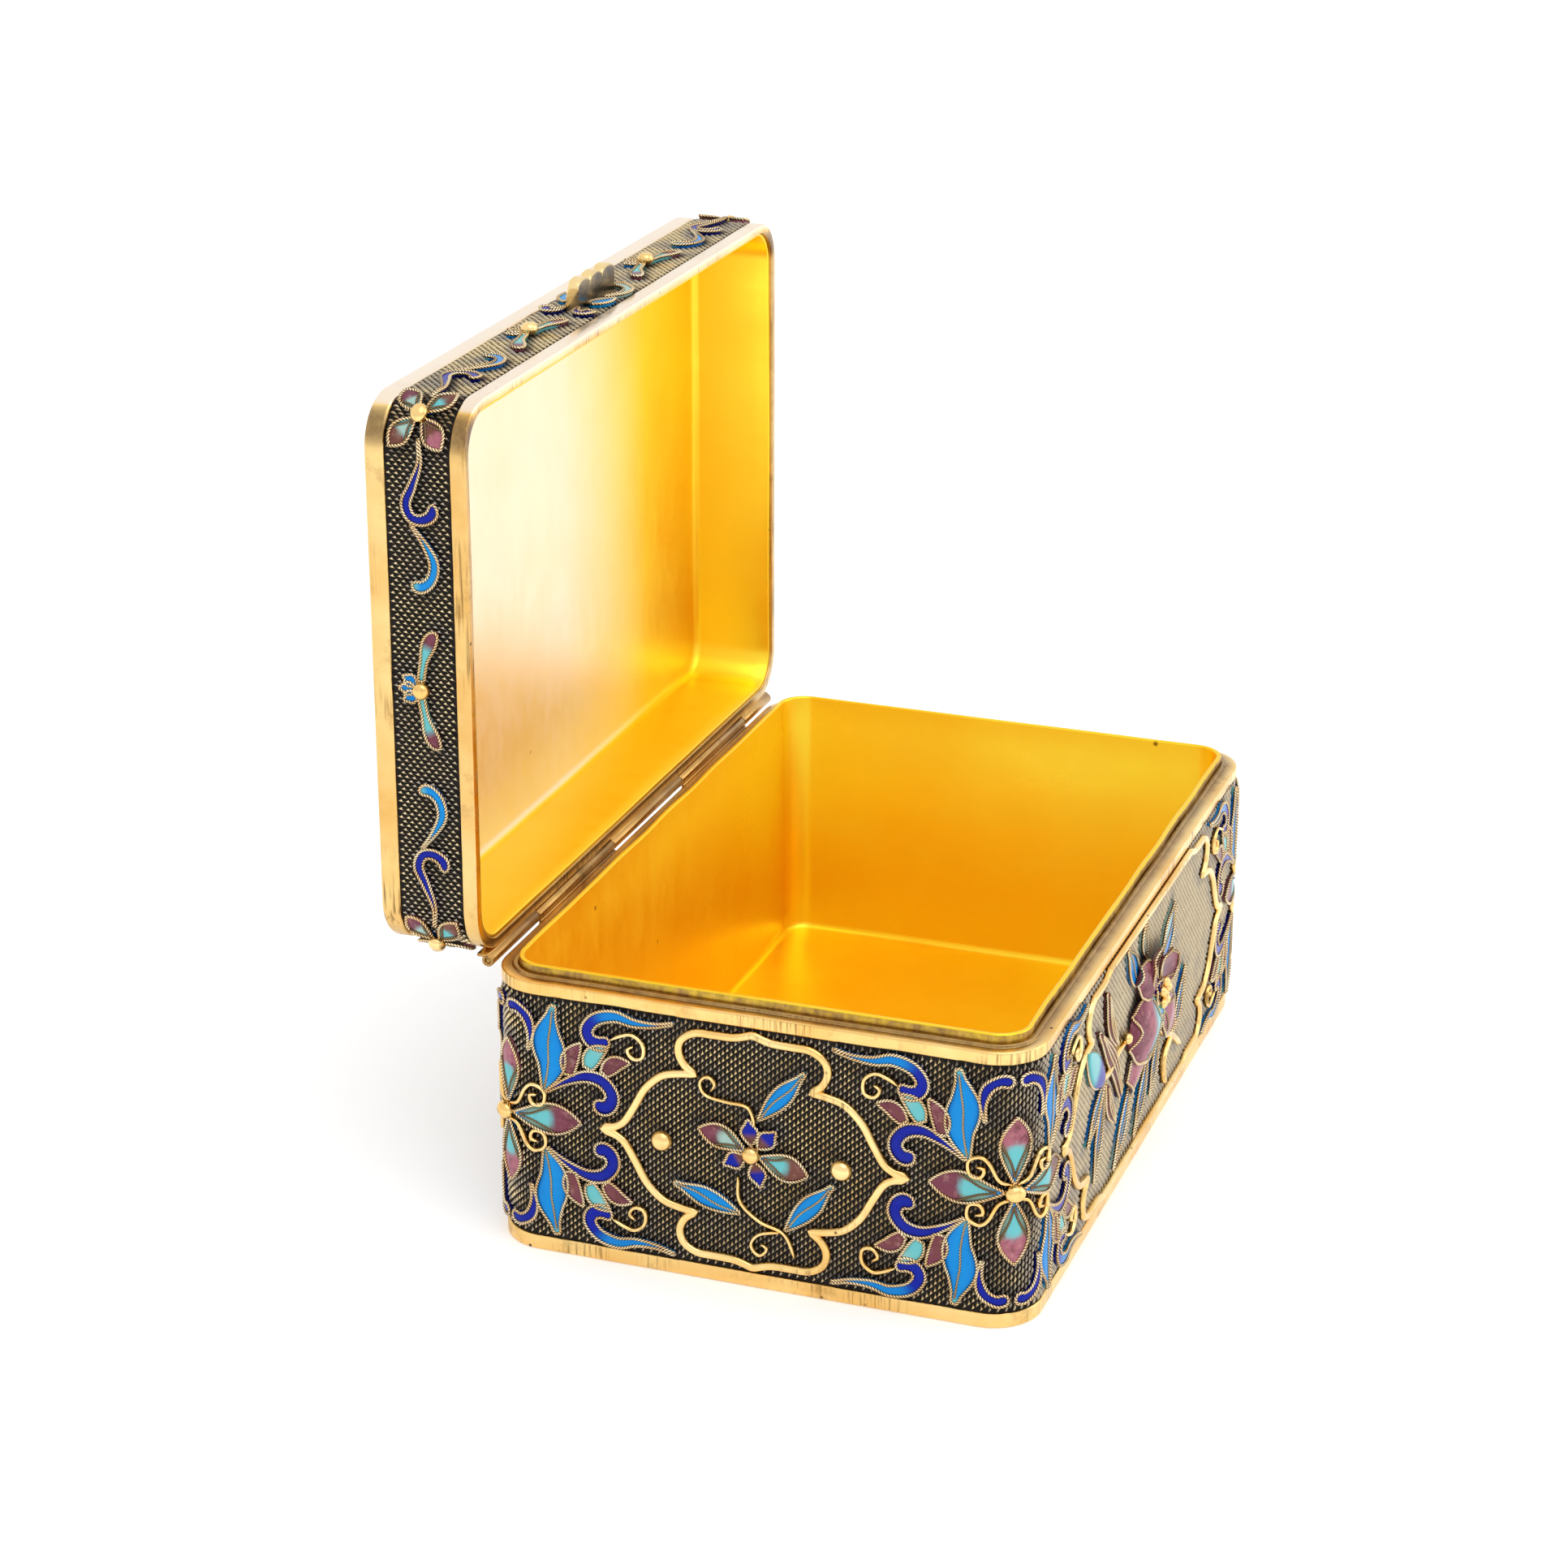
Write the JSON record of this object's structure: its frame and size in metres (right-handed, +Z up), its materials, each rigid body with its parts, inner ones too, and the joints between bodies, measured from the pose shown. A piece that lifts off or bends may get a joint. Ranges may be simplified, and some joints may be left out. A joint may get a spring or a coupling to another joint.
{
  "type": "cloisonne enamel box",
  "caption": "Rectangular gilt box with hinged lid, woven-wire walls between plain rims, enamelled flower and scroll ornaments and a front thumb piece.",
  "frame": {"origin": "middle of the underside of the body, on the surface the box stands on", "axes": "+X along the hinge to the right seen from the front, +Y from the front to the hinge side, +Z up"},
  "size_m": [0.1132, 0.0914, 0.1163],
  "materials": {
    "gilt": "polished gilding, worn and tarnished in places",
    "gilt_inside": "bright gilding with brushed scratches",
    "woven_wire": "oxidised twisted wire with bright worn crests",
    "enamel": "glossy enamel in several colours"
  },
  "bodies": {
    "box": {"box_base_plate": "gilt", "box_base_rim": "gilt", "box_weave_band": "woven_wire", "box_top_rim": "gilt", "box_liner": "gilt_inside", "cartouche_front": "gilt", "cartouche_back": "gilt", "cartouche_left": "gilt", "cartouche_right": "gilt", "peony_front": "enamel", "spray_back": "enamel", "spray_left": "enamel", "spray_right": "enamel", "corner_spray_front_left": "enamel", "corner_spray_front_right": "enamel", "corner_spray_back_left": "enamel", "corner_spray_back_right": "enamel", "stud_left_front": "gilt", "stud_left_back": "gilt", "stud_right_front": "gilt", "stud_right_back": "gilt", "hinge_knuckle_box_1": "gilt", "hinge_knuckle_box_2": "gilt", "hinge_pin": "gilt"},
    "lid": {"lid_mouth_rim": "gilt", "lid_weave_band": "woven_wire", "lid_top_rim": "gilt", "lid_weave_top": "woven_wire", "lid_liner": "gilt_inside", "lid_clasp": "gilt", "cartouche_lid": "gilt", "spray_lid": "enamel", "lid_band_front_left": "enamel", "lid_band_front_right": "enamel", "lid_band_back_left": "enamel", "lid_band_back_right": "enamel", "lid_butterfly_left": "enamel", "lid_butterfly_right": "enamel", "lid_butterfly_front_left": "enamel", "lid_butterfly_front_right": "enamel", "lid_butterfly_back_left": "enamel", "lid_butterfly_back_right": "enamel", "lid_top_spray_front_left": "enamel", "lid_top_spray_front_right": "enamel", "lid_top_spray_back_left": "enamel", "lid_top_spray_back_right": "enamel", "hinge_knuckle_lid_1": "gilt", "hinge_knuckle_lid_2": "gilt", "hinge_knuckle_lid_3": "gilt"}
  },
  "joints": [
    {"name": "lid_hinge", "type": "hinge", "parent": "box", "child": "lid", "pos_m": [0, 0.03725, 0.03845], "axis": [1, 0, 0], "range_deg": [0, 90]}
  ]
}
